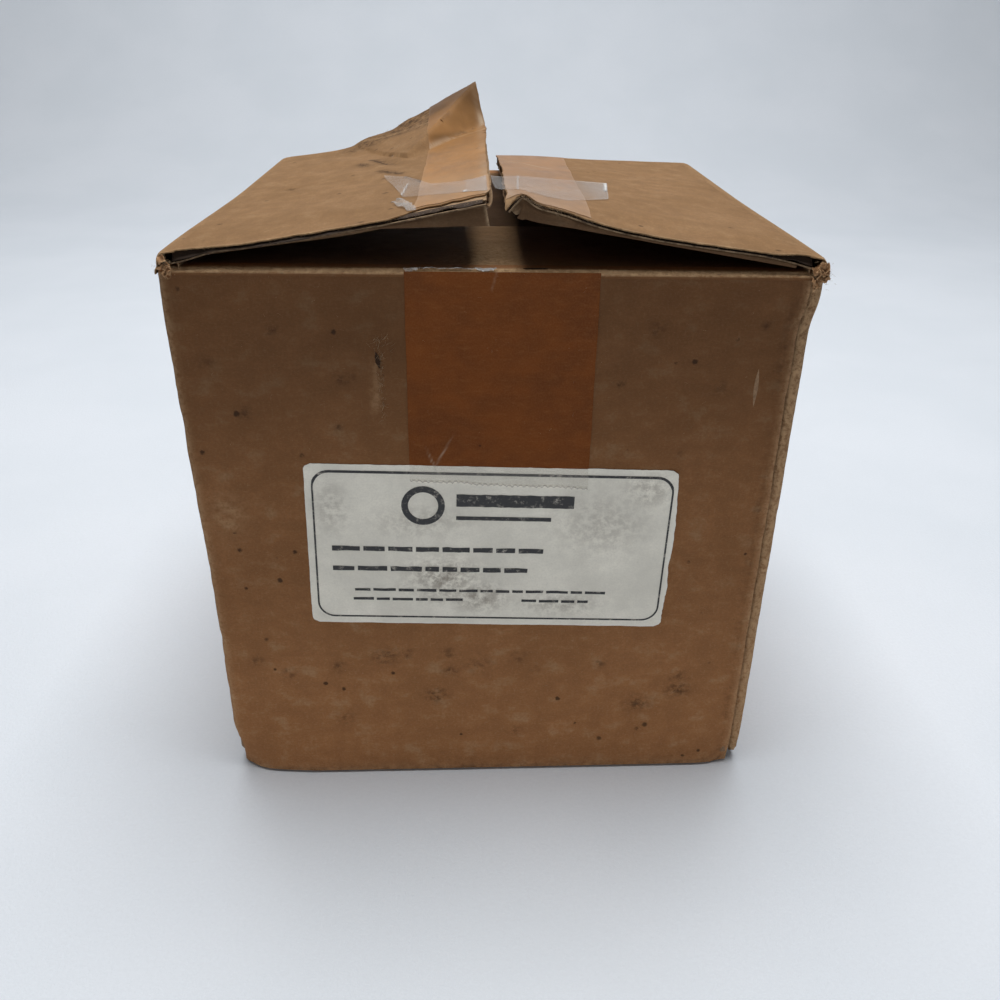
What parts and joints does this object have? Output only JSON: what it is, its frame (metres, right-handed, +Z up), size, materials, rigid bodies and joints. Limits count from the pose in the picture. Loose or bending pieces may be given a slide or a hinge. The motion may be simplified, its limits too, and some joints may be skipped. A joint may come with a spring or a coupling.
{
  "type": "corrugated cardboard carton",
  "caption": "Small used slotted carton of corrugated board with a paper label, tape remains and hinged top flaps standing partly open.",
  "frame": {"origin": "centre of the carton's underside, on the surface it stands on", "axes": "+X to the right seen from the label side, +Y to the back wall, +Z up; the label face looks towards -Y"},
  "size_m": [0.1584, 0.1599, 0.1861],
  "materials": {
    "kraft_liner": "matte",
    "flute_medium": "matte",
    "label_paper": "matte",
    "packing_tape": "satin",
    "clear_tape": "gloss"
  },
  "bodies": {
    "carton_shell": {"back_tape_tail": "packing_tape", "back_wall_flute_medium": "flute_medium", "back_wall_inner_liner": "kraft_liner", "back_wall_outer_liner": "kraft_liner", "bottom_back_flap_flute_medium": "flute_medium", "bottom_back_flap_inner_liner": "kraft_liner", "bottom_back_flap_outer_liner": "kraft_liner", "bottom_front_flap_flute_medium": "flute_medium", "bottom_front_flap_inner_liner": "kraft_liner", "bottom_front_flap_outer_liner": "kraft_liner", "bottom_left_flap_flute_medium": "flute_medium", "bottom_left_flap_inner_liner": "kraft_liner", "bottom_left_flap_outer_liner": "kraft_liner", "bottom_right_flap_flute_medium": "flute_medium", "bottom_right_flap_inner_liner": "kraft_liner", "bottom_right_flap_outer_liner": "kraft_liner", "front_tape_tail": "packing_tape", "front_wall_flute_medium": "flute_medium", "front_wall_inner_liner": "kraft_liner", "front_wall_outer_liner": "kraft_liner", "glue_tab_flute_medium": "flute_medium", "glue_tab_inner_liner": "kraft_liner", "glue_tab_outer_liner": "kraft_liner", "label": "label_paper", "left_wall_flute_medium": "flute_medium", "left_wall_inner_liner": "kraft_liner", "left_wall_outer_liner": "kraft_liner", "right_wall_flute_medium": "flute_medium", "right_wall_inner_liner": "kraft_liner", "right_wall_outer_liner": "kraft_liner"},
    "left_flap": {"bridge_tape_left_flap": "clear_tape", "seam_tape_left_flap": "packing_tape", "tape_scrap": "clear_tape", "top_left_flap_flute_medium": "flute_medium", "top_left_flap_inner_liner": "kraft_liner", "top_left_flap_outer_liner": "kraft_liner"},
    "left_flap_corner": {"left_flap_corner_flute_medium": "flute_medium", "left_flap_corner_inner_liner": "kraft_liner", "left_flap_corner_outer_liner": "kraft_liner", "seam_tape_left_corner": "packing_tape"},
    "right_flap": {"bridge_tape_right_flap": "clear_tape", "seam_tape_right_flap": "packing_tape", "top_right_flap_flute_medium": "flute_medium", "top_right_flap_inner_liner": "kraft_liner", "top_right_flap_outer_liner": "kraft_liner"},
    "front_flap": {"top_front_flap_flute_medium": "flute_medium", "top_front_flap_inner_liner": "kraft_liner", "top_front_flap_outer_liner": "kraft_liner"},
    "back_flap": {"top_back_flap_flute_medium": "flute_medium", "top_back_flap_inner_liner": "kraft_liner", "top_back_flap_outer_liner": "kraft_liner"}
  },
  "joints": [
    {"name": "left_flap_hinge", "type": "hinge", "parent": "carton_shell", "child": "left_flap", "pos_m": [-0.0792, 0, 0.16], "axis": [0, -1, 0], "range_deg": [-8.5, 216.5]},
    {"name": "right_flap_hinge", "type": "hinge", "parent": "carton_shell", "child": "right_flap", "pos_m": [0.0792, 0, 0.16], "axis": [0, 1, 0], "range_deg": [-1.4, 234]},
    {"name": "front_flap_hinge", "type": "hinge", "parent": "carton_shell", "child": "front_flap", "pos_m": [0, -0.0759, 0.1537], "axis": [1, 0, 0], "range_deg": [-70, 4]},
    {"name": "back_flap_hinge", "type": "hinge", "parent": "carton_shell", "child": "back_flap", "pos_m": [0, 0.0759, 0.1537], "axis": [-1, 0, 0], "range_deg": [-68, 6]},
    {"name": "left_flap_corner_crease", "type": "hinge", "parent": "left_flap", "child": "left_flap_corner", "pos_m": [-0.05151, 0.0792, 0.16414], "axis": [0.7836, -0.6102, 0.1171], "range_deg": [-28.5, 41.5]}
  ]
}
